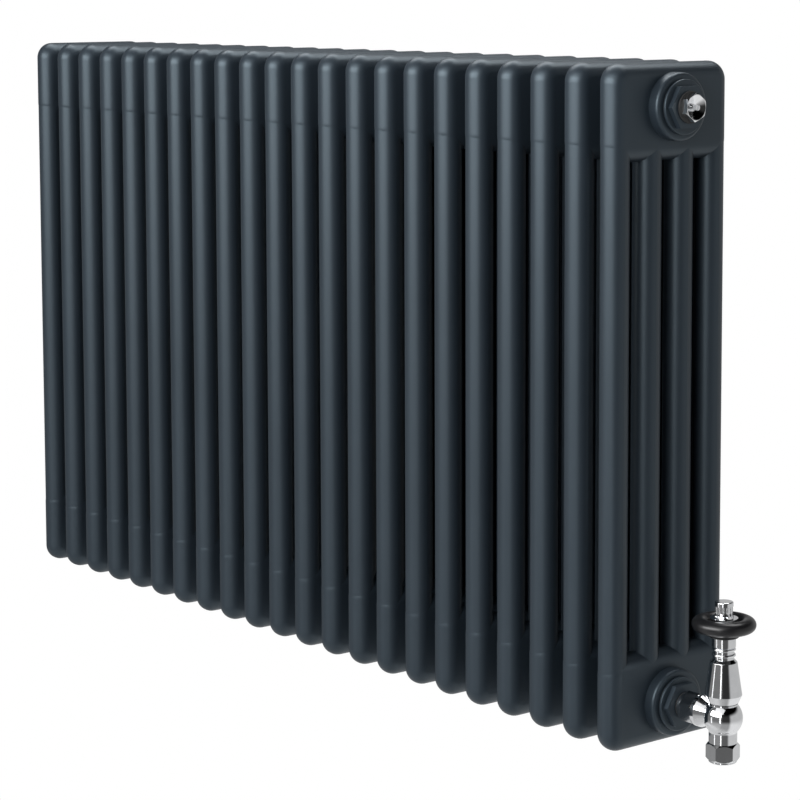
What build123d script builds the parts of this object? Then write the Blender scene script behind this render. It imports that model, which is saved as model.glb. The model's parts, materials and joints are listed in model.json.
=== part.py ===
from build123d import *
import os

# A four-column tubular steel radiator with a bleed vent and an angled hand-wheel valve, in millimetres.
# X runs along the radiator with the valve at +X, -Y is the room side, +Y the wall side and Z is up.
# The origin is on the top waterway axis at mid length, in the neck that a wall bracket hooks under.

# Radiator block
section_count = 22
section_pitch = 45.0
overall_height = 600.0
hub_offset = 38.0            # waterway axis to the top or bottom edge
column_count = 4
column_pitch = 37.7
tube_diameter = 25.4
tube_wall = 1.25
header_height = 85.0
header_side_lip = 0.15       # header face stands this far proud of the tube's side
header_end_lip = 0.1         # header end stands this far proud of the outer tube
header_crest_flat = 0.8      # width of the flat along the header's crest
header_corner_radius = 16.8
sheet_wall = 1.25
hub_bore_radius = 20.0
nipple_flare_radius = 27.0
nipple_waist_radius = 24.5
weld_bead_width = 5.0
weld_bead_height = 0.9

# Threaded ends
boss_radius = 29.75
boss_height = 10.8
boss_edge_radius = 3.0
bushing_thread_radius = 20.9
thread_clearance = 0.05
gasket_height = 0.9
gasket_width = 1.9
flange_radius = 24.0
flange_height = 2.8
flange_edge_radius = 0.9
bushing_hex_width = 36.0
bushing_hex_height = 4.8
bushing_thread_length = 10.5
tapping_radius = 9.32        # half-inch pipe thread, drawn plain
o_ring_height = 1.8
o_ring_bore_gap = 0.33
o_ring_radius = 14.0
o_ring_edge_share = 0.4       # edge rounding, as a share of the ring's height
plug_thread_length = 13.0

# Bleed vent
vent_hex_width = 21.8
vent_hex_height = 6.7
vent_hex_turn = 24.0
vent_edge_chamfer = 0.7
dish_rim_width = 0.2
dish_depth = 4.5
dish_floor_radius = 3.4
bleed_screw_radius = 2.5
bleed_screw_clearance = 0.05
bleed_screw_proud = 1.6
bleed_slot_width = 0.9
bleed_slot_depth = 1.1
bleed_slot_length = 10.0     # longer than the screw is wide
bleed_slot_turn = 78.0
bleed_seal_length = 2.0
bleed_seal_tip_radius = 0.9
bleed_seat_gap = 0.1
bleed_hole_radius = 1.3
bleed_seat_wall = 4.5
vent_outlet_radius = 0.8
vent_outlet_rise = 1.2
plug_dome_height = 1.6

# Valve tail and union
tail_bore_radius = 6.5
tail_ring_radius = 11.6
tail_ring_height = 1.2
tail_collar_radius = 11.4
tail_collar_height = 1.4
tail_shoulder_radius = 11.2
tail_shoulder_height = 3.0
union_nut_width = 26.4
union_nut_turn = 38.0
union_nut_length = 16.5
union_nut_collar_radius = 12.9
union_nut_collar_length = 3.6
union_nut_lip = 5.6
union_nut_gap = 0.4
union_seal_height = 1.2
union_clearance = 0.15
port_spigot_radius = 11.3
port_spigot_length = 7.0
port_collar_radius = 14.0
port_collar_height = 4.0
port_neck_radius = 9.2
port_neck_length = 8.0
port_arm = 34.0              # end of the port spigot to the valve's upright axis

# Valve body
sphere_radius = 17.0
lower_neck_radius = 12.3
lower_neck_drop = 21.8
lower_blend_radius = 3.0
top_blend_radius = 0.8
pipe_radius = 7.5
pipe_clearance = 0.1
pipe_thread_radius = 10.8
pipe_thread_length = 10.4
pipe_stop_drop = 17.0
seat_drop = 9.0
seat_bore_radius = 5.5
chamber_radius = 8.5
top_neck_radius = 12.0
top_neck_rise = 13.0
top_bead_height = 1.4
top_bead_width = 0.8
bell_thread_radius = 10.8
bell_thread_length = 7.0
compression_nut_width = 25.6
compression_nut_turn = -10.0
compression_nut_chamfer = 2.6
compression_nut_chamfer_slope = 1.0
compression_nut_hex_height = 15.6
compression_nut_collar_radius = 12.2
compression_nut_floor = 2.0
olive_length = 4.6
olive_wall = 1.9
olive_end_wall = 0.8
olive_fit = 0.05
seat_gap = 0.2

# Valve insert, pin and spring
insert_flange_radius = 10.5
insert_flange_height = 2.5
insert_thread_length = 8.0
insert_spigot_radius = 5.0
insert_spigot_height = 4.6
insert_ring_radius = 7.0
insert_ring_height = 1.5
insert_ring_drop = 5.4
pin_radius = 2.0
running_clearance = 0.05
pin_ring_radius = 3.4
pin_ring_height = 1.5
pin_ring_rise = 1.8
pin_head_radius = 7.0
pin_head_height = 1.9
pin_collar_radius = 4.0
pin_collar_height = 1.2
valve_lift = 3.3             # open gap between disc and seat
disc_radius = 7.2
disc_height = 3.0
spring_length = 7.8
spring_wire = 1.4
spring_bore_gap = 0.4
spring_end_gap = 0.1

# Sensor, lift nut, bell and neck
capsule_radius = 9.2
capsule_length = 11.4
capsule_edge_radius = 1.0
lift_nut_radius = 5.93
lift_nut_length = 12.8
lift_nut_floor = 2.2
spindle_thread_radius = 3.0
spindle_floor_gap = 0.6
spindle_collar_gap = 3.5
spindle_collar_height = 2.3
spindle_collar_side_gap = 0.1
spindle_radius = 4.0
stud_radius = 2.5
stud_length = 7.0
bell_head_room = 5.5         # capsule top to bell top
bell_plate = 2.5
bell_top_radius = 11.8
bell_wide_radius = 16.2
bell_wide_rise = 7.3
bell_foot_radius = 12.6
bell_wall = 1.9
bell_edge_radius = 0.6
sleeve_radius = 10.4
sleeve_foot_radius = 11.5
sleeve_foot_height = 2.4
sleeve_spigot_radius = 6.9
sleeve_groove_radius = 9.1
sleeve_lip = 7.5
bead_section_radius = 1.6
lower_bead_rise = 5.9
upper_bead_rise = 11.0
beads_top_rise = 13.4

# Hand wheel and knob
wheel_radius = 27.7
wheel_rim_half_width = 7.0
wheel_rim_half_height = 6.3
wheel_rim_rise = 11.0
wheel_boss_radius = 13.2
wheel_boss_height = 2.0
wheel_boss_chamfer = 0.6
wheel_dish_rise = 5.3         # underside of the rim where the web meets it
wheel_web_rise = 12.6
wheel_hub_radius = 9.0
wheel_hub_height = 15.3
wheel_gap = 0.5
knob_flange_radius = 12.1
knob_flange_height = 1.5
knob_barrel_radius = 7.5
knob_barrel_height = 10.2
knob_foot_radius = 8.6
knob_foot_height = 4.5
knob_cap_radius = 8.0
knob_cap_height = 4.0
knob_edge_radius = 1.0
flute_count = 14
flute_radius = 1.1
flute_offset = 0.4           # flute centres stand this far outside the barrel
flute_margin = 1.2
stud_end_gap = 1.0

# Places worked out from the sizes above
hub_spacing = overall_height - 2 * hub_offset
tube_radius = tube_diameter / 2
tube_bore_radius = tube_radius - tube_wall
header_thickness = tube_diameter + 2 * header_side_lip
header_depth = (column_count - 1) * column_pitch + tube_diameter + 2 * header_end_lip
header_edge_radius = (header_thickness - header_crest_flat) / 2
header_reach = header_height - hub_offset
tube_length = hub_spacing - 2 * header_reach
nipple_length = section_pitch - header_thickness
section_places = [(i - (section_count - 1) / 2) * section_pitch for i in range(section_count)]
column_places = [(i - (column_count - 1) / 2) * column_pitch for i in range(column_count)]
end_face = section_places[-1] + header_thickness / 2

boss_bore_radius = bushing_thread_radius + thread_clearance
flange_base = boss_height + gasket_height
hex_base = flange_base + flange_height
bushing_face = hex_base + bushing_hex_height
plug_thread_radius = tapping_radius - thread_clearance
ring_face = bushing_face + o_ring_height
vent_rim = ring_face + vent_hex_height

tail_ring_face = bushing_face + tail_ring_height
tail_collar_face = tail_ring_face + tail_collar_height
union_nut_back = tail_collar_face + union_nut_gap
union_lip_face = union_nut_back + union_nut_lip
union_nut_front = union_nut_back + union_nut_length
shoulder_back = union_lip_face + union_clearance
shoulder_face = shoulder_back + tail_shoulder_height
port_face = shoulder_face + union_seal_height
valve_reach = port_face + port_arm

body_top = top_neck_rise + bell_thread_length
insert_top = body_top + insert_flange_height
spring_bottom = insert_top + spring_end_gap
spring_top = spring_bottom + spring_length
pin_head_bottom = spring_top + spring_end_gap
pin_head_top = pin_head_bottom + pin_head_height
capsule_bottom = pin_head_top + seat_gap
capsule_top = capsule_bottom + capsule_length
lift_nut_bottom = capsule_top + seat_gap
lift_nut_top = lift_nut_bottom + lift_nut_length
bell_bottom = top_neck_rise + seat_gap
bell_top = capsule_top + bell_head_room
bell_plate_bottom = bell_top - bell_plate
bell_wide = bell_bottom + bell_wide_rise
lift_bore_radius = lift_nut_radius + running_clearance
spindle_bottom = lift_nut_bottom + lift_nut_floor + spindle_floor_gap
spindle_collar_bottom = lift_nut_top + spindle_collar_gap
spindle_collar_top = spindle_collar_bottom + spindle_collar_height
sleeve_lip_bottom = spindle_collar_top + seat_gap
sleeve_top = sleeve_lip_bottom + sleeve_lip
wheel_bottom = sleeve_top + wheel_gap
wheel_hub_top = wheel_bottom + wheel_hub_height
stud_bottom = wheel_hub_top - wheel_gap
stud_top = stud_bottom + stud_length
knob_base = wheel_hub_top
disc_bottom = -seat_drop + valve_lift
disc_top = disc_bottom + disc_height
pipe_socket_radius = pipe_radius + pipe_clearance
pipe_thread_bottom = -(lower_neck_drop + pipe_thread_length)
olive_top = pipe_thread_bottom - seat_gap
olive_bottom = olive_top - olive_length
nut_floor_top = olive_bottom - seat_gap
nut_top = -(lower_neck_drop + seat_gap)
nut_hex_bottom = nut_top - compression_nut_hex_height
nut_bottom = nut_floor_top - compression_nut_floor


def turning_plane(origin, outward, radial):
    """Plane whose x is a radius and whose y runs outward along the axis of a turned piece."""
    return Plane(origin=origin, x_dir=radial, z_dir=Vector(*radial).cross(Vector(*outward)))


def cross_plane(turning, height):
    """Plane square to a turned piece's axis, this far out along it."""
    place = turning.origin + turning.y_dir * height
    return Plane(origin=place, x_dir=turning.x_dir, z_dir=turning.y_dir)


def turn(turning, *outline, mode=Mode.ADD):
    """Turn a closed outline of (radius, height) points into the piece being made."""
    with BuildSketch(turning) as profile:
        with BuildLine():
            Polyline(*outline, close=True)
        make_face()
    revolve(profile.sketch, axis=Axis(turning.origin, turning.y_dir), mode=mode)


def ring(turning, inner, outer, bottom, top, mode=Mode.ADD):
    """Turn a plain ring, or a disc where inner is 0, into the piece being made."""
    turn(turning, (inner, bottom), (outer, bottom), (outer, top), (inner, top), mode=mode)


def hexagon(turning, width, bottom, top, angle=0.0):
    """Add a hexagon of this width across its flats."""
    with BuildSketch(cross_plane(turning, bottom)) as flats:
        RegularPolygon(width / 2, 6, major_radius=False, rotation=angle)
    extrude(flats.sketch, amount=top - bottom)


def round_hexagon(turning, width, bottom, top, chamfer_height, angle=0.0, chamfer_slope=3 ** 0.5):
    """Add a hexagon whose corners are turned off at both ends, as on a nut."""
    hexagon(turning, width, bottom, top, angle)
    corner = width / 3 ** 0.5
    end = corner - chamfer_slope * chamfer_height
    turn(turning, (0, bottom), (end, bottom), (corner, bottom + chamfer_height),
         (corner, top - chamfer_height), (end, top), (0, top), mode=Mode.INTERSECT)


def save(piece, name):
    """Label a finished piece and write it under its name."""
    piece.label = name
    export_step(piece, f"parts/{name}.step")


os.makedirs("parts", exist_ok=True)

right, left, up, side = (1, 0, 0), (-1, 0, 0), (0, 0, 1), (0, 1, 0)
ports = {
    "top_right": turning_plane((end_face, 0, 0), right, side),
    "bottom_right": turning_plane((end_face, 0, -hub_spacing), right, side),
    "top_left": turning_plane((-end_face, 0, 0), left, side),
    "bottom_left": turning_plane((-end_face, 0, -hub_spacing), left, side),
}
vent_port = ports["top_right"]
valve_port = ports["bottom_right"]
valve_centre = (end_face + valve_reach, 0, -hub_spacing)
valve_axis = turning_plane(valve_centre, up, right)
port_axis = turning_plane(valve_centre, left, side)


# Headers, tubes and sections
def header_form(inset):
    """Pillow shape of a header, drawn in by inset on every side."""
    with BuildPart() as form:
        with BuildSketch(Plane.YZ):
            with Locations((0, hub_offset - header_height / 2)):
                RectangleRounded(header_depth - 2 * inset, header_height - 2 * inset,
                                 header_corner_radius - inset)
        extrude(amount=header_thickness / 2 - inset, both=True)
        fillet(form.faces().filter_by(Axis.X).edges(), header_edge_radius - inset)
    return form.part


socket_places = [(0, y, -header_reach) for y in column_places]
standing = (Align.CENTER, Align.CENTER, Align.MIN)
hanging = (Align.CENTER, Align.CENTER, Align.MAX)
with BuildPart() as header:
    add(header_form(0))
    with Locations(*socket_places):
        Cylinder(tube_radius, header_reach, align=standing)
    add(header_form(sheet_wall), mode=Mode.SUBTRACT)
    with Locations(*socket_places):
        Cylinder(tube_bore_radius, header_reach, align=standing, mode=Mode.SUBTRACT)
    with Locations(Plane.YZ):
        Cylinder(hub_bore_radius, 2 * header_thickness, mode=Mode.SUBTRACT)

with BuildPart() as tube:
    Cylinder(tube_radius, tube_length, align=hanging)
    Cylinder(tube_bore_radius, tube_length, align=hanging, mode=Mode.SUBTRACT)

foot_header = header.part.rotate(Axis.X, 180).moved(Location((0, 0, -hub_spacing)))
tubes = [tube.part.moved(Location(place)) for place in socket_places]
section_solids = [piece.solid() for piece in [header.part, foot_header, *tubes]]
for number, x in enumerate(section_places, start=1):
    section = Compound([solid.moved(Location((x, 0, 0))) for solid in section_solids])
    save(section, f"section_{number:02d}")

# Welded necks between the headers
nipple_axis = turning_plane((0, 0, 0), right, side)
nipple_end = nipple_length / 2
flare = nipple_flare_radius - nipple_waist_radius
bead_end = weld_bead_width / 2
with BuildPart() as nipple:
    with BuildSketch(nipple_axis):
        with BuildLine():
            Polyline((nipple_waist_radius, -nipple_end + flare), (nipple_waist_radius, -bead_end))
            ThreePointArc((nipple_waist_radius, -bead_end), (nipple_waist_radius + weld_bead_height, 0),
                          (nipple_waist_radius, bead_end))
            Polyline((nipple_waist_radius, bead_end), (nipple_waist_radius, nipple_end - flare))
            RadiusArc((nipple_waist_radius, nipple_end - flare), (nipple_flare_radius, nipple_end), flare)
            Polyline((nipple_flare_radius, nipple_end), (hub_bore_radius, nipple_end),
                     (hub_bore_radius, -nipple_end), (nipple_flare_radius, -nipple_end))
            RadiusArc((nipple_flare_radius, -nipple_end), (nipple_waist_radius, -nipple_end + flare), flare)
        make_face()
    revolve(axis=Axis(nipple_axis.origin, nipple_axis.y_dir))

neck_places = [x + section_pitch / 2 for x in section_places[:-1]]
for row, height in (("top", 0), ("bottom", -hub_spacing)):
    necks = Compound([nipple.part.solid().moved(Location((x, 0, height))) for x in neck_places])
    save(necks, f"{row}_nipples")

# Bosses, bushings and gaskets at the four ends
gaskets = []
for corner, port in ports.items():
    with BuildPart() as boss:
        ring(port, boss_bore_radius, boss_radius, 0, boss_height)
        outer_edges = boss.edges().filter_by(GeomType.CIRCLE).group_by(SortBy.RADIUS)[-1]
        fillet(outer_edges.sort_by(Axis(port.origin, port.y_dir))[-1], boss_edge_radius)
    save(boss.part, f"{corner}_boss")

    with BuildPart() as bushing:
        ring(port, 0, flange_radius, flange_base, hex_base)
        fillet(bushing.edges().filter_by(GeomType.CIRCLE), flange_edge_radius)
        hexagon(port, bushing_hex_width, hex_base, bushing_face)
        ring(port, 0, bushing_thread_radius, flange_base - bushing_thread_length, flange_base)
        ring(port, 0, tapping_radius, flange_base - bushing_thread_length, bushing_face, mode=Mode.SUBTRACT)
    save(bushing.part, f"{corner}_bushing")

    with BuildPart() as gasket:
        gasket_bore = boss_bore_radius + thread_clearance
        ring(port, gasket_bore, gasket_bore + gasket_width, boss_height, flange_base)
    gaskets.append(gasket.part.solid())
save(Compound(gaskets), "bushing_gaskets")


# Rubber rings squeezed on the bushings' faces
def face_ring(port, radius, height):
    """Soft ring of this outer radius and height on a bushing's face."""
    with BuildPart() as soft:
        ring(port, tapping_radius + o_ring_bore_gap, radius, bushing_face, bushing_face + height)
        outer_edges = soft.edges().filter_by(GeomType.CIRCLE).group_by(SortBy.RADIUS)[-1]
        fillet(outer_edges, height * o_ring_edge_share)
    return soft.part


save(face_ring(vent_port, o_ring_radius, o_ring_height), "vent_o_ring")
save(face_ring(ports["top_left"], o_ring_radius, o_ring_height), "blanking_o_ring")
save(face_ring(valve_port, tail_ring_radius, tail_ring_height), "tail_o_ring")

# Vent plug with a dished face, and its bleed screw
plug_end = bushing_face - plug_thread_length
dish_floor = vent_rim - dish_depth
seat_height = plug_end + bleed_seat_wall
screw_bore_radius = bleed_screw_radius + bleed_screw_clearance
outlet_place = cross_plane(vent_port, ring_face + vent_outlet_rise)
with BuildPart() as vent_plug:
    round_hexagon(vent_port, vent_hex_width, ring_face, vent_rim, vent_edge_chamfer, vent_hex_turn)
    dish_radius = vent_hex_width / 2 - dish_rim_width
    turn(vent_port, (0, dish_floor), (dish_floor_radius, dish_floor), (dish_radius, vent_rim), (0, vent_rim),
         mode=Mode.SUBTRACT)
    ring(vent_port, 0, plug_thread_radius, plug_end, ring_face)
    ring(vent_port, 0, screw_bore_radius, seat_height, vent_rim, mode=Mode.SUBTRACT)
    ring(vent_port, 0, bleed_hole_radius, plug_end, seat_height, mode=Mode.SUBTRACT)
    with BuildSketch(Plane(origin=outlet_place.origin, z_dir=(0, 0, -1))) as outlet:
        Circle(vent_outlet_radius)
    extrude(outlet.sketch, amount=vent_hex_width, mode=Mode.SUBTRACT)
save(vent_plug.part, "vent_plug")

seal_bottom = seat_height + bleed_seat_gap
seal_top = seal_bottom + bleed_seal_length
screw_top = vent_rim + bleed_screw_proud
with BuildPart() as bleed_seal:
    turn(vent_port, (0, seal_bottom), (bleed_seal_tip_radius, seal_bottom), (bleed_screw_radius, seal_top),
         (0, seal_top))
save(bleed_seal.part, "bleed_seal")

with BuildPart() as bleed_screw:
    ring(vent_port, 0, bleed_screw_radius, seal_top + bleed_seat_gap, screw_top)
    with BuildSketch(cross_plane(vent_port, screw_top)) as slot:
        Rectangle(bleed_slot_length, bleed_slot_width, rotation=bleed_slot_turn)
    extrude(slot.sketch, amount=-bleed_slot_depth, mode=Mode.SUBTRACT)
save(bleed_screw.part, "bleed_screw")

# Blanking plug at the hidden top corner
with BuildPart() as blanking_plug:
    blank_port = ports["top_left"]
    round_hexagon(blank_port, vent_hex_width, ring_face, vent_rim, vent_edge_chamfer, vent_hex_turn)
    turn(blank_port, (0, vent_rim), (vent_hex_width / 2 - plug_dome_height, vent_rim),
         (dish_floor_radius, vent_rim + plug_dome_height), (0, vent_rim + plug_dome_height))
    ring(blank_port, 0, plug_thread_radius, plug_end, ring_face)
save(blanking_plug.part, "blanking_plug")

# Tail pipe, union nut and seal
with BuildPart() as tail_pipe:
    ring(valve_port, 0, plug_thread_radius, plug_end, shoulder_face)
    ring(valve_port, 0, tail_collar_radius, tail_ring_face, tail_collar_face)
    ring(valve_port, 0, tail_shoulder_radius, shoulder_back, shoulder_face)
    ring(valve_port, 0, tail_bore_radius, plug_end, shoulder_face, mode=Mode.SUBTRACT)
save(tail_pipe.part, "tail_pipe")

union_bore_radius = max(tail_shoulder_radius, port_spigot_radius) + union_clearance
union_tail_radius = plug_thread_radius + union_clearance
with BuildPart() as union_nut:
    round_hexagon(valve_port, union_nut_width, union_nut_back + union_nut_collar_length, union_nut_front,
                  vent_edge_chamfer, union_nut_turn)
    turn(valve_port, (0, union_nut_back), (union_nut_collar_radius - vent_edge_chamfer, union_nut_back),
         (union_nut_collar_radius, union_nut_back + vent_edge_chamfer),
         (union_nut_collar_radius, union_nut_back + union_nut_collar_length + vent_edge_chamfer),
         (0, union_nut_back + union_nut_collar_length + vent_edge_chamfer))
    ring(valve_port, 0, union_tail_radius, union_nut_back, union_lip_face, mode=Mode.SUBTRACT)
    ring(valve_port, 0, union_bore_radius, union_lip_face, union_nut_front, mode=Mode.SUBTRACT)
save(union_nut.part, "union_nut")

with BuildPart() as union_seal:
    ring(valve_port, tail_bore_radius, tail_shoulder_radius, shoulder_face, port_face)
save(union_seal.part, "union_seal")

# Valve body: a ball with a lower neck, a top neck and a side port
port_collar_out = port_arm - port_spigot_length
port_collar_in = port_collar_out - port_collar_height
top_bead_base = top_neck_rise - top_bead_height
with BuildPart() as valve_body:
    with Locations(Location(valve_centre)):
        Sphere(sphere_radius)
    ring(valve_axis, 0, lower_neck_radius, -lower_neck_drop, 0)
    ring(valve_axis, 0, top_neck_radius, 0, top_neck_rise)
    ball_edges = valve_body.edges().filter_by(GeomType.CIRCLE).filter_by_position(
        Axis.Z, -hub_spacing - sphere_radius, -hub_spacing + top_neck_rise, (False, False))
    neck_edges = [edge for edge in ball_edges if edge.radius < sphere_radius]
    fillet([edge for edge in neck_edges if edge.center().Z < -hub_spacing], lower_blend_radius)
    fillet([edge for edge in neck_edges if edge.center().Z > -hub_spacing], top_blend_radius)
    ring(valve_axis, 0, top_neck_radius + top_bead_width, top_bead_base, top_neck_rise)
    ring(valve_axis, 0, pipe_thread_radius, pipe_thread_bottom, -lower_neck_drop)
    ring(valve_axis, 0, bell_thread_radius, top_neck_rise, body_top)
    turn(port_axis, (0, 0), (port_neck_radius, 0), (port_neck_radius, port_collar_in - port_neck_length),
         (port_collar_radius, port_collar_in), (port_collar_radius, port_collar_out),
         (port_spigot_radius, port_collar_out), (port_spigot_radius, port_arm), (0, port_arm))
    ring(valve_axis, 0, pipe_socket_radius, pipe_thread_bottom, -pipe_stop_drop, mode=Mode.SUBTRACT)
    ring(valve_axis, 0, seat_bore_radius, -pipe_stop_drop, -seat_drop, mode=Mode.SUBTRACT)
    ring(valve_axis, 0, chamber_radius, -seat_drop, body_top, mode=Mode.SUBTRACT)
    ring(port_axis, 0, tail_bore_radius, 0, port_arm, mode=Mode.SUBTRACT)
save(valve_body.part, "valve_body")

# Compression nut and olive for the supply pipe
with BuildPart() as compression_nut:
    round_hexagon(valve_axis, compression_nut_width, nut_hex_bottom, nut_top, compression_nut_chamfer,
                  compression_nut_turn, compression_nut_chamfer_slope)
    turn(valve_axis, (0, nut_bottom), (compression_nut_collar_radius - vent_edge_chamfer, nut_bottom),
         (compression_nut_collar_radius, nut_bottom + vent_edge_chamfer),
         (compression_nut_collar_radius, nut_hex_bottom), (0, nut_hex_bottom))
    ring(valve_axis, 0, pipe_thread_radius + thread_clearance, nut_floor_top, nut_top, mode=Mode.SUBTRACT)
    ring(valve_axis, 0, pipe_socket_radius, nut_bottom, nut_floor_top, mode=Mode.SUBTRACT)
save(compression_nut.part, "compression_nut")

olive_bore = pipe_radius + olive_fit
with BuildPart() as pipe_olive:
    turn(valve_axis, (olive_bore, olive_bottom), (olive_bore + olive_end_wall, olive_bottom),
         (olive_bore + olive_wall, (olive_bottom + olive_top) / 2), (olive_bore + olive_end_wall, olive_top),
         (olive_bore, olive_top))
save(pipe_olive.part, "pipe_olive")

# Insert that guides the push pin, with its two rubber rings
ring_floor = body_top - insert_ring_drop
ring_roof = ring_floor + insert_ring_height
pin_ring_floor = insert_top + pin_ring_rise
pin_ring_roof = pin_ring_floor + pin_ring_height
insert_radius = chamber_radius - thread_clearance
pin_bore_radius = pin_radius + running_clearance
with BuildPart() as valve_insert:
    ring(valve_axis, 0, insert_radius, body_top - insert_thread_length, body_top)
    ring(valve_axis, 0, insert_flange_radius, body_top, insert_top)
    ring(valve_axis, 0, insert_spigot_radius, insert_top, insert_top + insert_spigot_height)
    ring(valve_axis, insert_ring_radius, insert_flange_radius, ring_floor, ring_roof, mode=Mode.SUBTRACT)
    ring(valve_axis, 0, pin_bore_radius, body_top - insert_thread_length, insert_top + insert_spigot_height,
         mode=Mode.SUBTRACT)
    ring(valve_axis, 0, pin_ring_radius, pin_ring_floor, pin_ring_roof, mode=Mode.SUBTRACT)
save(valve_insert.part, "valve_insert")

with BuildPart() as insert_o_ring:
    ring(valve_axis, insert_ring_radius + thread_clearance, insert_radius, ring_floor + thread_clearance,
         ring_roof - thread_clearance)
save(insert_o_ring.part, "insert_o_ring")

with BuildPart() as pin_o_ring:
    ring(valve_axis, pin_bore_radius, pin_ring_radius - thread_clearance, pin_ring_floor + thread_clearance,
         pin_ring_roof - thread_clearance)
save(pin_o_ring.part, "pin_o_ring")

# Push pin, disc and return spring
with BuildPart() as push_pin:
    ring(valve_axis, 0, pin_radius, disc_bottom, pin_head_bottom)
    ring(valve_axis, 0, pin_collar_radius, disc_top, disc_top + pin_collar_height)
    ring(valve_axis, 0, pin_head_radius, pin_head_bottom, pin_head_top)
save(push_pin.part, "push_pin")

with BuildPart() as valve_disc:
    ring(valve_axis, pin_bore_radius, disc_radius, disc_bottom, disc_top)
save(valve_disc.part, "valve_disc")

spring_bore = insert_spigot_radius + spring_bore_gap
with BuildPart() as return_spring:
    ring(valve_axis, spring_bore, spring_bore + spring_wire, spring_bottom, spring_top)
save(return_spring.part, "return_spring")

# Sensor capsule, lift nut and drive spindle
with BuildPart() as sensor_capsule:
    ring(valve_axis, 0, capsule_radius, capsule_bottom, capsule_top)
    fillet(sensor_capsule.edges().filter_by(GeomType.CIRCLE), capsule_edge_radius)
save(sensor_capsule.part, "sensor_capsule")

with BuildPart() as lift_nut:
    ring(valve_axis, 0, lift_nut_radius, lift_nut_bottom, lift_nut_top)
    ring(valve_axis, 0, spindle_thread_radius + running_clearance, lift_nut_bottom + lift_nut_floor,
         lift_nut_top, mode=Mode.SUBTRACT)
save(lift_nut.part, "lift_nut")

with BuildPart() as drive_spindle:
    ring(valve_axis, 0, spindle_thread_radius, spindle_bottom, spindle_collar_bottom)
    ring(valve_axis, 0, lift_nut_radius - spindle_collar_side_gap, spindle_collar_bottom, spindle_collar_top)
    ring(valve_axis, 0, spindle_radius, spindle_collar_top, stud_bottom)
    ring(valve_axis, 0, stud_radius, stud_bottom, stud_top)
save(drive_spindle.part, "drive_spindle")

# Bell bonnet: a chamfered foot, its widest ring and a long taper
bell_cavity_bottom = insert_top + seat_gap
bell_shoulder = bell_wide + (bell_wide_radius - bell_foot_radius) / 2
taper = (bell_wide_radius - bell_top_radius) / (bell_top - bell_wide)
with BuildPart() as bonnet_bell:
    turn(valve_axis, (0, bell_bottom), (bell_foot_radius, bell_bottom),
         (bell_foot_radius + bell_edge_radius, bell_bottom + bell_edge_radius), (bell_wide_radius, bell_wide),
         (bell_wide_radius - taper * (bell_shoulder - bell_wide), bell_shoulder), (bell_top_radius, bell_top),
         (0, bell_top))
    widest = bonnet_bell.edges().filter_by(GeomType.CIRCLE).sort_by(SortBy.RADIUS)[-1]
    fillet(widest, 2 * bell_edge_radius)
    fillet(bonnet_bell.edges().filter_by(GeomType.CIRCLE).sort_by(Axis.Z)[-1], bell_edge_radius)
    bell_bore_radius = bell_thread_radius + thread_clearance
    ring(valve_axis, 0, bell_bore_radius, bell_bottom, bell_cavity_bottom, mode=Mode.SUBTRACT)
    cavity_foot_radius = bell_wide_radius - bell_wall - taper * (bell_cavity_bottom - bell_wide)
    cavity_top_radius = bell_top_radius - bell_wall + taper * bell_plate
    turn(valve_axis, (0, bell_cavity_bottom), (cavity_foot_radius, bell_cavity_bottom),
         (cavity_top_radius, bell_plate_bottom), (0, bell_plate_bottom), mode=Mode.SUBTRACT)
    ring(valve_axis, 0, sleeve_spigot_radius + thread_clearance, bell_plate_bottom, bell_top,
         mode=Mode.SUBTRACT)
save(bonnet_bell.part, "bonnet_bell")

# Neck with a flared foot and two beads
with BuildPart() as neck_sleeve:
    turn(valve_axis, (0, bell_plate_bottom), (sleeve_spigot_radius, bell_plate_bottom),
         (sleeve_spigot_radius, bell_top), (sleeve_foot_radius, bell_top),
         (sleeve_groove_radius, bell_top + sleeve_foot_height),
         (sleeve_groove_radius, bell_top + beads_top_rise), (sleeve_radius, bell_top + beads_top_rise),
         (sleeve_radius, sleeve_top), (0, sleeve_top))
    for rise in (lower_bead_rise, upper_bead_rise):
        with Locations(cross_plane(valve_axis, bell_top + rise)):
            Torus(sleeve_radius - bead_section_radius, bead_section_radius)
    ring(valve_axis, 0, lift_bore_radius, bell_plate_bottom, sleeve_lip_bottom, mode=Mode.SUBTRACT)
    ring(valve_axis, 0, spindle_radius + running_clearance, sleeve_lip_bottom, sleeve_top, mode=Mode.SUBTRACT)
save(neck_sleeve.part, "neck_sleeve")

# Hand wheel: a fat rim on a thin web, with a hub above and a step below
rim_centre = wheel_radius - wheel_rim_half_width
wheel_bore = spindle_radius + thread_clearance
with BuildPart() as hand_wheel:
    with BuildSketch(valve_axis):
        with BuildLine():
            Polyline((wheel_bore, wheel_bottom), (wheel_boss_radius - wheel_boss_chamfer, wheel_bottom),
                     (wheel_boss_radius, wheel_bottom + wheel_boss_chamfer),
                     (wheel_boss_radius, wheel_bottom + wheel_boss_height),
                     (rim_centre, wheel_bottom + wheel_dish_rise),
                     (rim_centre, wheel_bottom + wheel_web_rise),
                     (wheel_hub_radius, wheel_bottom + wheel_web_rise),
                     (wheel_hub_radius, wheel_hub_top), (wheel_bore, wheel_hub_top), close=True)
        make_face()
        with Locations((rim_centre, wheel_bottom + wheel_rim_rise)):
            Ellipse(wheel_rim_half_width, wheel_rim_half_height)
    revolve(axis=Axis(valve_axis.origin, valve_axis.y_dir))
save(hand_wheel.part, "hand_wheel")

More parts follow.
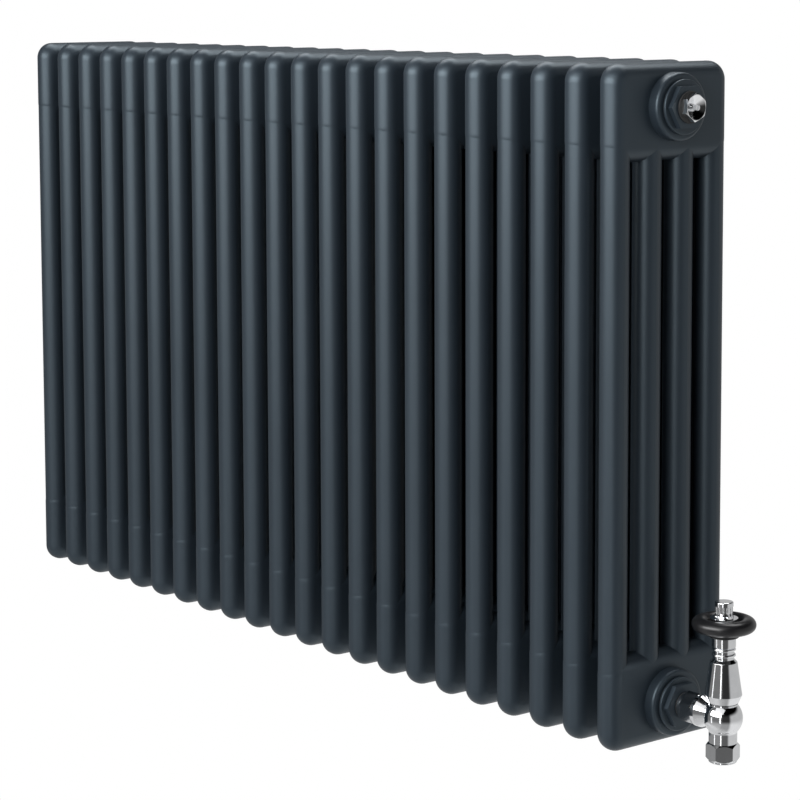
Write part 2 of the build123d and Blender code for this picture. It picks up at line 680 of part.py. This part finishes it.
# Fluted knob that clamps the wheel on the spindle
barrel_base = knob_base + knob_flange_height
cap_base = barrel_base + knob_barrel_height
knob_top = cap_base + knob_cap_height
with BuildPart() as wheel_knob:
    ring(valve_axis, 0, knob_flange_radius, knob_base, barrel_base)
    ring(valve_axis, 0, knob_barrel_radius, barrel_base, cap_base)
    turn(valve_axis, (0, barrel_base), (knob_foot_radius, barrel_base),
         (knob_barrel_radius, barrel_base + knob_foot_height), (0, barrel_base + knob_foot_height))
    with BuildSketch(cross_plane(valve_axis, barrel_base + flute_margin)) as flutes:
        with PolarLocations(knob_barrel_radius + flute_offset, flute_count):
            Circle(flute_radius)
    extrude(flutes.sketch, amount=knob_barrel_height - flute_margin, mode=Mode.SUBTRACT)
    ring(valve_axis, 0, knob_cap_radius, cap_base, knob_top)
    fillet(wheel_knob.edges().filter_by(GeomType.CIRCLE).sort_by(Axis.Z)[-1], knob_edge_radius)
    ring(valve_axis, 0, stud_radius + thread_clearance, knob_base, stud_top + stud_end_gap,
         mode=Mode.SUBTRACT)
save(wheel_knob.part, "wheel_knob")
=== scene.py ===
"""Looks of a four-column steel radiator with a bleed vent and an angled hand-wheel valve."""

import json
import math

import bpy
from bpy.props import FloatProperty, FloatVectorProperty, PointerProperty
from bpy.types import Operator, Panel, PropertyGroup
from mathutils import Euler, Matrix, Vector


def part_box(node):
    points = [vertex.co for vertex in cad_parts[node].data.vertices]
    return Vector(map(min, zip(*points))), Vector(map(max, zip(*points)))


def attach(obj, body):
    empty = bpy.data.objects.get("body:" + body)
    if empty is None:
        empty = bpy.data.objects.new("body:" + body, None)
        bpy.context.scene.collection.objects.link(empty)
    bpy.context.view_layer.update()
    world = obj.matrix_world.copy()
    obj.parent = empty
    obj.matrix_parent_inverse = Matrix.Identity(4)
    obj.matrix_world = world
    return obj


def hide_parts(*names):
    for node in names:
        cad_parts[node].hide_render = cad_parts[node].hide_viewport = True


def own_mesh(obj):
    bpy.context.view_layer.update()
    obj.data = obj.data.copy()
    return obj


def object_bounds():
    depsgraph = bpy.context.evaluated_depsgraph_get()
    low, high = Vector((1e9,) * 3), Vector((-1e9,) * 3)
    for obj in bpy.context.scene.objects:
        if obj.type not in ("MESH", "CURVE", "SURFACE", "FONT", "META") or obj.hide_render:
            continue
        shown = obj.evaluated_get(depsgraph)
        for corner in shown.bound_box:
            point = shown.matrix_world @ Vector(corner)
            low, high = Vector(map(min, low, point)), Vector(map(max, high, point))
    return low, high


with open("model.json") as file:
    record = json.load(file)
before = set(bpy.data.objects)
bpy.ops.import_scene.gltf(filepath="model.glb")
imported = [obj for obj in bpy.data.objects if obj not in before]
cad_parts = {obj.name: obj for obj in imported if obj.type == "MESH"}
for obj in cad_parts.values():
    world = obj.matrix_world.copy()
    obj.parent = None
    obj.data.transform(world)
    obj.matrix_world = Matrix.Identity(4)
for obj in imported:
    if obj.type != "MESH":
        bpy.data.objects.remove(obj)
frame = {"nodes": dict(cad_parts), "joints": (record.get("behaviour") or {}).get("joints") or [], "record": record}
cad_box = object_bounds()

bl_info = {
    "name": "Column Radiator With Valve",
    "version": (1, 0, 0),
    "blender": (4, 5, 0),
    "location": "3D View > Sidebar > Radiator",
    "description": "Finishes a packed column radiator, its bleed vent and its hand-wheel valve",
    "category": "Object",
}

NODES = frame["nodes"]
SECTIONS = sorted(name for name in NODES if name.startswith("section_"))
CORNERS = ("top_right", "bottom_right", "top_left", "bottom_left")
SLOTS = {row["node"]: row["material_slot"] for row in frame["record"]["subparts"]}

# Floor: its size, where it starts and ends to fade to white, and its share of white before that
FLOOR_RADIUS = 6.0
FLOOR_SIDES = 96
FLOOR_NEAR = 0.5
FLOOR_FAR = 0.95
FLOOR_GLOW = 0.4

# Black cards in the gaps, painted shade for their dark depth: their depth, and how much shorter than a section
# they are
SHADE_DEPTH = 0.066
SHADE_TRIM = 0.125

# Camera: width of the frame in millimetres, and how far it sees in metres
SENSOR_WIDTH = 36.0
SIGHT_END = 200.0

# Softboxes: name, what it is placed from, place, target, width and height
SOFTBOXES = (
    ("key", "radiator", (0.35, -2.2, 0.61), (0.35, 0, 0.61), 3.1, 1.2),
    ("top", "radiator", (-0.2, 0.4, 1.3), (0, 0, 0), 2.2, 0.8),
    ("strip", "valve", (0.70, -1.38, -0.1), (0, 0, 0), 0.16, 0.9),
    ("fill", "valve", (-0.85, -1.65, -0.3), (0, 0, 0), 0.2, 0.9),
    ("crown", "valve", (0.2, -0.8, 1.0), (0, 0, 0), 1.2, 0.8),
    ("back", "radiator", (0, 2.2, 0.9), (0, 0, -0.1), 3.0, 1.0),
)


def grey_blue(red, green, blue):
    """Linear colour of an sRGB colour given from 0 to 255."""
    shares = [value / 255 for value in (red, green, blue)]
    return tuple(c / 12.92 if c <= 0.04045 else ((c + 0.055) / 1.055) ** 2.4 for c in shares)


class Socket:
    """One output of a shader node, so that sums on values read as Python expressions."""

    def __init__(self, shader, output):
        self.shader = shader
        self.output = output

    def maths(self, operation, first, second):
        return self.shader.node("ShaderNodeMath", {"operation": operation}, {0: first, 1: second})

    def __add__(self, other):
        return self.maths("ADD", self, other)

    def __sub__(self, other):
        return self.maths("SUBTRACT", self, other)

    def __rsub__(self, other):
        return self.maths("SUBTRACT", other, self)

    def __mul__(self, other):
        return self.maths("MULTIPLY", self, other)

    __radd__ = __add__
    __rmul__ = __mul__


class Shader:
    """The node tree of one material or world."""

    def __init__(self, owner):
        owner.use_nodes = True
        self.tree = owner.node_tree
        self.tree.nodes.clear()

    def node(self, kind, settings=None, sockets=None, output=0):
        """Add a node of this kind, set its settings and then its sockets, and give one output."""
        made = self.tree.nodes.new(kind)
        for name, value in (settings or {}).items():
            if name == "stops":
                self.set_stops(made.color_ramp, value)
            else:
                setattr(made, name, value)
        for name, value in (sockets or {}).items():
            if isinstance(value, Socket):
                self.tree.links.new(value.output, made.inputs[name])
            else:
                made.inputs[name].default_value = value
        return Socket(self, made.outputs[output]) if made.outputs else made

    def set_stops(self, ramp, stops):
        """Give a colour ramp these stops of place and colour."""
        while len(ramp.elements) < len(stops):
            ramp.elements.new(1.0)
        for element, (place, shade) in zip(ramp.elements, stops):
            element.position = place
            element.color = (*shade, 1.0)

    def place(self):
        """Object coordinates."""
        return self.node("ShaderNodeTexCoord", output="Object")

    def noise(self, scale, detail=2.0, roughness=0.5):
        """Smooth noise from 0 to 1, with this many spots to a metre."""
        return self.node("ShaderNodeTexNoise", {"normalize": True}, {
            "Vector": self.place(), "Scale": scale, "Detail": detail, "Roughness": roughness})

    def ramp(self, value, low, high, start=0.0, end=1.0):
        """Map a value from low..high to start..end, smoothly and held at both ends."""
        return self.node("ShaderNodeMapRange", {"interpolation_type": "SMOOTHSTEP"}, {
            "Value": value, "From Min": low, "From Max": high, "To Min": start, "To Max": end})

    def shades(self, value, *stops):
        """Colour of a value from 0 to 1, between stops of place and colour."""
        return self.node("ShaderNodeValToRGB", {"stops": stops}, {"Fac": value})

    def bump(self, height, depth, strength):
        """Normal of a relief of this depth in metres."""
        return self.node("ShaderNodeBump", {}, {"Height": height, "Distance": depth, "Strength": strength})

    def surface(self, **sockets):
        """Finish the tree with a principled surface."""
        names = {name.replace("_", " ").title().replace("Ior", "IOR"): v for name, v in sockets.items()}
        made = self.node("ShaderNodeBsdfPrincipled", {}, names)
        self.node("ShaderNodeOutputMaterial", {}, {"Surface": made})


def new_material(name):
    """A fresh material and its shader."""
    made = bpy.data.materials.new(name)
    return made, Shader(made)


def opaque(colour):
    return (*colour, 1.0)


class FinishSettings(PropertyGroup):
    """Colours and gloss of the radiator's finishes."""

    paint_colour: FloatVectorProperty(
        name="Paint", description="Colour of the baked powder coat", subtype="COLOR", size=3,
        min=0, max=1, default=grey_blue(31, 38, 45))
    paint_roughness: FloatProperty(
        name="Paint roughness", description="How dull the powder coat is", subtype="FACTOR",
        min=0, max=1, default=0.42)
    chrome_colour: FloatVectorProperty(
        name="Chrome", description="Reflection colour of the plated fittings", subtype="COLOR", size=3,
        min=0, max=1, default=(0.83, 0.84, 0.855))
    chrome_roughness: FloatProperty(
        name="Chrome roughness", description="How dull the plating is", subtype="FACTOR",
        min=0, max=1, default=0.08)
    wheel_colour: FloatVectorProperty(
        name="Hand wheel", description="Colour of the moulded hand wheel", subtype="COLOR", size=3,
        min=0, max=1, default=(0.008, 0.008, 0.009))
    rubber_colour: FloatVectorProperty(
        name="Rubber", description="Colour of the seals", subtype="COLOR", size=3,
        min=0, max=1, default=(0.013, 0.013, 0.013))
    brass_colour: FloatVectorProperty(
        name="Brass", description="Reflection colour of the bare brass", subtype="COLOR", size=3,
        min=0, max=1, default=(0.80, 0.60, 0.30))
    steel_colour: FloatVectorProperty(
        name="Steel", description="Reflection colour of the ground steel", subtype="COLOR", size=3,
        min=0, max=1, default=(0.62, 0.62, 0.63))


class StageSettings(PropertyGroup):
    """Floor, light and camera."""

    floor_drop: FloatProperty(
        name="Floor drop", description="Height of the radiator's foot above the floor", unit="LENGTH",
        min=0.05, default=0.50)
    key_power: FloatProperty(
        name="Key light", description="Power of the long softbox on the room side", unit="POWER",
        min=0, default=96)
    top_power: FloatProperty(
        name="Top light", description="Power of the softbox overhead", unit="POWER", min=0, default=30)
    strip_power: FloatProperty(
        name="Strip light", description="Power of the upright softbox before the valve", unit="POWER",
        min=0, default=1.0)
    fill_power: FloatProperty(
        name="Fill light", description="Power of the upright softbox at the far front", unit="POWER",
        min=0, default=0.8)
    crown_power: FloatProperty(
        name="Crown light", description="Power of the softbox over the valve", unit="POWER",
        min=0, default=3)
    back_power: FloatProperty(
        name="Back light", description="Power of the softbox on the wall side", unit="POWER",
        min=0, default=18)
    sky_strength: FloatProperty(
        name="Sky", description="Strength of the even light from all round", min=0, default=0.08)
    card_strength: FloatProperty(
        name="White side", description="Brightness of the studio's white side in bright metal",
        min=0, default=0.52)
    dark_strength: FloatProperty(
        name="Dark side", description="Brightness of the studio's dark side in bright metal",
        min=0, default=0.03)
    front_strength: FloatProperty(
        name="Front", description="Brightness of the studio's far front in bright metal",
        min=0, default=0.15)
    ground_strength: FloatProperty(
        name="Ground", description="Brightness of the studio's ground in bright metal",
        min=0, default=0.3)
    card_heading: FloatProperty(
        name="White side heading", description="Middle of the white side, from +X towards the wall",
        subtype="ANGLE", default=math.radians(75))
    front_heading: FloatProperty(
        name="Far front heading", description="Middle of the far front, from +X towards the wall",
        subtype="ANGLE", default=math.radians(-120))
    camera_place: FloatVectorProperty(
        name="Camera place", description="Where the camera stands", subtype="TRANSLATION", size=3,
        default=(2.047, -1.5294, 0.112))
    camera_turn: FloatProperty(
        name="Camera turn", description="Camera's heading, from the wall towards the left",
        subtype="ANGLE", default=math.radians(51.799))
    camera_tilt: FloatProperty(
        name="Camera tilt", description="How far the camera looks down", subtype="ANGLE",
        default=math.radians(5.959))
    camera_roll: FloatProperty(
        name="Camera roll", description="How far the camera leans to the left", subtype="ANGLE",
        default=math.radians(-0.202))
    camera_lens: FloatProperty(
        name="Camera lens", description="Focal length on a 36 mm frame", unit="CAMERA", default=113.55)
    camera_shift: FloatProperty(
        name="Camera shift", description="Rise of the frame, in shares of its width", default=-0.2)


def settings():
    return bpy.context.scene.radiator_finish, bpy.context.scene.radiator_stage


def anthracite_paint():
    """Satin powder coat with a fine orange peel and slightly uneven depth of colour."""
    finish, _ = settings()
    made, shader = new_material("anthracite_paint")
    colour = Vector(finish.paint_colour)
    drift = shader.noise(7.0, 3.0)
    grain = shader.noise(2600.0, 1.0)
    peel = shader.noise(750.0, 2.0, 0.45)
    shade = shader.shades(0.7 * drift + 0.3 * grain, (0.3, colour * 0.93), (0.7, colour * 1.07))
    gloss = finish.paint_roughness - 0.05 + 0.07 * drift + 0.04 * peel
    shader.surface(base_color=shade, roughness=gloss, normal=shader.bump(peel, 0.00002, 0.5),
                   specular_ior_level=0.66, specular_tint=opaque((0.72, 0.89, 1.0)))
    return made


def chrome():
    """Polished plating with faint swirls."""
    finish, _ = settings()
    made, shader = new_material("chrome")
    colour = Vector(finish.chrome_colour)
    cloud = shader.noise(160.0, 3.0)
    swirl = shader.noise(3200.0, 2.0)
    shade = shader.shades(cloud, (0.3, colour * 0.97), (0.7, colour * 1.02))
    gloss = finish.chrome_roughness + 0.02 * cloud + 0.01 * swirl
    shader.surface(base_color=shade, metallic=1.0, roughness=gloss,
                   normal=shader.bump(cloud, 0.000006, 0.4))
    return made


def black_plastic():
    """Moulded black plastic with a satin skin."""
    finish, _ = settings()
    made, shader = new_material("black_plastic")
    colour = Vector(finish.wheel_colour)
    skin = shader.noise(1800.0, 2.0)
    flow = shader.noise(60.0, 2.0)
    shade = shader.shades(flow, (0.3, colour * 0.85), (0.7, colour * 1.2))
    shader.surface(base_color=shade, roughness=0.26 + 0.08 * flow + 0.05 * skin,
                   normal=shader.bump(skin, 0.00001, 0.5), specular_ior_level=0.5)
    return made


def black_rubber():
    """Matte rubber with a fine bloom."""
    finish, _ = settings()
    made, shader = new_material("black_rubber")
    colour = Vector(finish.rubber_colour)
    bloom = shader.noise(900.0, 3.0)
    shade = shader.shades(bloom, (0.3, colour * 0.8), (0.75, colour * 1.5))
    shader.surface(base_color=shade, roughness=0.62 + 0.15 * bloom,
                   normal=shader.bump(bloom, 0.00002, 0.5))
    return made


def turned_metal(name, colour, roughness):
    """Bare turned metal with fine tool marks."""
    made, shader = new_material(name)
    colour = Vector(colour)
    stain = shader.noise(90.0, 3.0)
    marks = shader.noise(2400.0, 2.0)
    shade = shader.shades(stain, (0.3, colour * 0.86), (0.7, colour))
    shader.surface(base_color=shade, metallic=1.0, roughness=roughness + 0.10 * stain + 0.05 * marks,
                   normal=shader.bump(marks, 0.000006, 0.5))
    return made


def brass():
    finish, _ = settings()
    return turned_metal("brass", finish.brass_colour, 0.22)


def bright_steel():
    finish, _ = settings()
    return turned_metal("bright_steel", finish.steel_colour, 0.26)


FINISHES = {
    "anthracite_paint": anthracite_paint,
    "chrome": chrome,
    "black_plastic": black_plastic,
    "black_rubber": black_rubber,
    "brass": brass,
    "bright_steel": bright_steel,
}

made_finishes = {}


def finish_of(slot):
    """The material of a slot, made the first time it is asked for."""
    if slot not in made_finishes:
        made_finishes[slot] = FINISHES[slot]()
    return made_finishes[slot]


def dress(*names):
    """Give CAD nodes the finish of their slots."""
    for name in names:
        mesh = NODES[name].data
        mesh.materials.clear()
        mesh.materials.append(finish_of(SLOTS[name]))


class RADIATOR_OT_block(Operator):
    """Paint the sections, the necks between them and the welded ends"""

    bl_idname = "radiator.block"
    bl_label = "Radiator block"

    def execute(self, context):
        dress(*SECTIONS, "top_nipples", "bottom_nipples")
        for corner in CORNERS:
            dress(f"{corner}_boss", f"{corner}_bushing")
        dress("bushing_gaskets")
        return {"FINISHED"}


class RADIATOR_OT_plugs(Operator):
    """Finish the bleed vent, the blanking plug and their seals"""

    bl_idname = "radiator.plugs"
    bl_label = "Vent and blanking plug"

    def execute(self, context):
        dress("vent_o_ring", "vent_plug", "bleed_seal", "bleed_screw")
        dress("blanking_o_ring", "blanking_plug")
        return {"FINISHED"}


class RADIATOR_OT_valve(Operator):
    """Finish the angled valve and what it holds"""

    bl_idname = "radiator.valve"
    bl_label = "Valve"

    def execute(self, context):
        dress("tail_o_ring", "tail_pipe", "union_nut", "union_seal")
        dress("valve_body", "compression_nut", "pipe_olive")
        dress("valve_insert", "insert_o_ring", "pin_o_ring", "push_pin", "valve_disc", "return_spring")
        dress("sensor_capsule", "lift_nut", "drive_spindle", "bonnet_bell", "neck_sleeve")
        self.add_spring()
        return {"FINISHED"}

    def add_spring(self):
        """The return spring, as its own copy of the CAD mesh, parented to the radiator in place of the hidden CAD
        spring.
        """
        sleeve = NODES["return_spring"]
        low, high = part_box("return_spring")
        spring = bpy.data.objects.new("return_spring_pressed", sleeve.data.copy())
        spring.matrix_world = sleeve.matrix_world
        bpy.context.scene.collection.objects.link(spring)
        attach(spring, "radiator")
        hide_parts("return_spring")
        travel = next(joint["range_m"][1] for joint in frame["joints"] if joint["name"] == "valve_lift")
        1 - travel / (high.z - low.z)
        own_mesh(spring)


class RADIATOR_OT_wheel(Operator):
    """Finish the hand wheel and its knob"""

    bl_idname = "radiator.wheel"
    bl_label = "Hand wheel"

    def execute(self, context):
        dress("hand_wheel", "wheel_knob")
        return {"FINISHED"}


def add_softbox(name, place, target, width, height, power):
    """A rectangular lamp at a place, turned to a target."""
    lamp = bpy.data.lights.new(name, "AREA")
    lamp.shape = "RECTANGLE"
    lamp.size = width
    lamp.size_y = height
    lamp.energy = power
    softbox = bpy.data.objects.new(name, lamp)
    softbox.location = place
    softbox.rotation_euler = (target - place).to_track_quat("-Z", "Y").to_euler()
    softbox.visible_camera = False
    bpy.context.scene.collection.objects.link(softbox)
    return softbox


def ray_kinds(shader):
    """Two masks: 1 for what the camera sees and 1 for what bright surfaces mirror."""
    path = shader.node("ShaderNodeLightPath").output.node
    names = ("Is Camera Ray", "Is Transmission Ray", "Is Glossy Ray")
    camera, through, glossy = (Socket(shader, path.outputs[name]) for name in names)
    return shader.node("ShaderNodeMath", {"operation": "MAXIMUM"}, {0: camera, 1: through}), glossy


class RADIATOR_OT_stage(Operator):
    """Add the floor, the studio light and the camera"""

    bl_idname = "radiator.stage"
    bl_label = "Stage"

    def execute(self, context):
        _, stage = settings()
        low, high = (Vector(corner) for corner in cad_box)
        self.add_floor(low.z - stage.floor_drop)
        self.add_sky(stage)
        starts = {"radiator": Vector(), "valve": Vector((high.x, 0, low.z))}
        for name, start, place, target, width, height in SOFTBOXES:
            place, target = (starts[start] + Vector(point) for point in (place, target))
            softbox = add_softbox(name, place, target, width, height, getattr(stage, f"{name}_power"))
            softbox.visible_glossy = name != "back"
        self.add_painted_shade()
        self.add_camera(stage)
        return {"FINISHED"}

    def add_floor(self, height):
        """A pale matt floor that keeps the shadow and fades to white further out."""
        bpy.ops.object.select_all(action="DESELECT")
        bpy.ops.mesh.primitive_circle_add(
            vertices=FLOOR_SIDES, radius=FLOOR_RADIUS, fill_type="NGON", location=(0, 0, height))
        floor = bpy.context.object
        floor.name = "floor"
        made, shader = new_material("floor")
        reach = shader.node("ShaderNodeVectorMath", {"operation": "LENGTH"}, {0: shader.place()},
                            output="Value")
        far = shader.ramp(reach, FLOOR_NEAR, FLOOR_FAR, FLOOR_GLOW, 1.0)
        camera, glossy = ray_kinds(shader)
        grain = shader.noise(30.0)
        tone = shader.shades(grain, (0.0, (0.78, 0.78, 0.78)), (1.0, (0.82, 0.82, 0.82)))
        matt = shader.node("ShaderNodeBsdfDiffuse", {}, {"Color": tone})
        clear = shader.node("ShaderNodeBsdfTransparent")
        white = shader.node("ShaderNodeEmission", {}, {"Color": opaque((1, 1, 1)), "Strength": 1.0})
        mirrored = shader.node("ShaderNodeMixShader", {}, {0: far * glossy, 1: matt, 2: clear})
        mixed = shader.node("ShaderNodeMixShader", {}, {0: far * camera, 1: mirrored, 2: white})
        shader.node("ShaderNodeOutputMaterial", {}, {"Surface": mixed})
        floor.data.materials.append(made)

    def add_painted_shade(self):
        """Black cards between the sections, edge on to the room: painted shade for the dark depth of the gaps."""
        low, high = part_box(SECTIONS[0])
        pitch = (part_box(SECTIONS[-1])[0].x - low.x) / (len(SECTIONS) - 1)
        bpy.ops.object.select_all(action="DESELECT")
        bpy.ops.mesh.primitive_plane_add(size=1.0, rotation=(0, math.pi / 2, 0))
        shade = bpy.context.object
        shade.name = "shade"
        shade.scale = (high.z - low.z - SHADE_TRIM, SHADE_DEPTH, 1)
        shade.location = ((low.x + high.x + pitch) / 2, SHADE_DEPTH / 2, (low.z + high.z) / 2)
        bpy.ops.object.transform_apply(location=True, rotation=True, scale=True)
        row = shade.modifiers.new("row", "ARRAY")
        row.use_relative_offset = False
        row.use_constant_offset = True
        row.constant_offset_displace = (pitch, 0, 0)
        row.count = len(SECTIONS) - 1
        bpy.ops.object.modifier_apply(modifier="row")
        made, shader = new_material("shade")
        # Painted shade: near-black matt cards stand in for the shaded depth of the gaps
        dark = shader.node("ShaderNodeBsdfDiffuse", {}, {"Color": opaque((0.004, 0.004, 0.005))})
        shader.node("ShaderNodeOutputMaterial", {}, {"Surface": dark})
        shade.data.materials.append(made)

    def add_sky(self, stage):
        """White to the camera, and for bright metal white on one side and dark on the other."""
        world = bpy.data.worlds.new("studio")
        bpy.context.scene.world = world
        shader = Shader(world)
        heading = shader.node("ShaderNodeTexCoord", output="Generated")

        def facing(direction):
            return shader.node("ShaderNodeVectorMath", {"operation": "DOT_PRODUCT"},
                               {0: heading, 1: direction}, output="Value")

        def towards(angle):
            return facing((math.cos(angle), math.sin(angle), 0))

        level = shader.ramp(facing((0, 0, 1)), 0.2, 0.5, 1.0, 0.0)
        side = shader.ramp(
            towards(stage.card_heading), 0.05, 0.35, stage.dark_strength, stage.card_strength)
        front = shader.ramp(towards(stage.front_heading), 0.3, 0.5, 0.0, stage.front_strength)
        ground = shader.ramp(facing((0, 0, -1)), 0.15, 0.55, 0.0, stage.ground_strength)
        studio = side * level + front + ground
        camera, glossy = ray_kinds(shader)
        strength = camera + glossy * studio + (1.0 - camera - glossy) * stage.sky_strength
        sky = shader.node("ShaderNodeBackground", {}, {"Color": opaque((1, 1, 1)), "Strength": strength})
        shader.node("ShaderNodeOutputWorld", {}, {"Surface": sky})

    def add_camera(self, stage):
        """A camera that stands as the photograph's did."""
        lens = bpy.data.cameras.new("camera")
        lens.sensor_width = SENSOR_WIDTH
        lens.lens = stage.camera_lens
        lens.shift_y = stage.camera_shift
        lens.clip_end = SIGHT_END
        camera = bpy.data.objects.new("camera", lens)
        camera.location = stage.camera_place
        level = Euler((math.pi / 2 - stage.camera_tilt, 0, stage.camera_turn)).to_matrix()
        camera.rotation_euler = (level @ Matrix.Rotation(stage.camera_roll, 3, "Z")).to_euler()
        scene = bpy.context.scene
        scene.collection.objects.link(camera)
        scene.camera = camera
        scene.view_settings.view_transform = "Standard"


class RADIATOR_PT_sidebar(Panel):
    """Lists the steps and the settings"""

    bl_idname = "RADIATOR_PT_sidebar"
    bl_label = "Column Radiator"
    bl_space_type = "VIEW_3D"
    bl_region_type = "UI"
    bl_category = "Radiator"

    def draw(self, context):
        layout = self.layout
        for group in settings():
            box = layout.box()
            for name in group.__annotations__:
                box.prop(group, name)
        for step in STEPS:
            layout.operator(step.bl_idname)


GROUPS = (FinishSettings, StageSettings)
STEPS = (RADIATOR_OT_block, RADIATOR_OT_plugs, RADIATOR_OT_valve, RADIATOR_OT_wheel, RADIATOR_OT_stage)


def register():
    for group in (*GROUPS, *STEPS, RADIATOR_PT_sidebar):
        bpy.utils.register_class(group)
    bpy.types.Scene.radiator_finish = PointerProperty(type=FinishSettings)
    bpy.types.Scene.radiator_stage = PointerProperty(type=StageSettings)


def unregister():
    del bpy.types.Scene.radiator_stage
    del bpy.types.Scene.radiator_finish
    for group in reversed((*GROUPS, *STEPS, RADIATOR_PT_sidebar)):
        bpy.utils.unregister_class(group)


def main():
    register()
    bpy.ops.radiator.block()
    bpy.ops.radiator.plugs()
    bpy.ops.radiator.valve()
    bpy.ops.radiator.wheel()
    bpy.ops.radiator.stage()


if __name__ == "__main__":
    main()
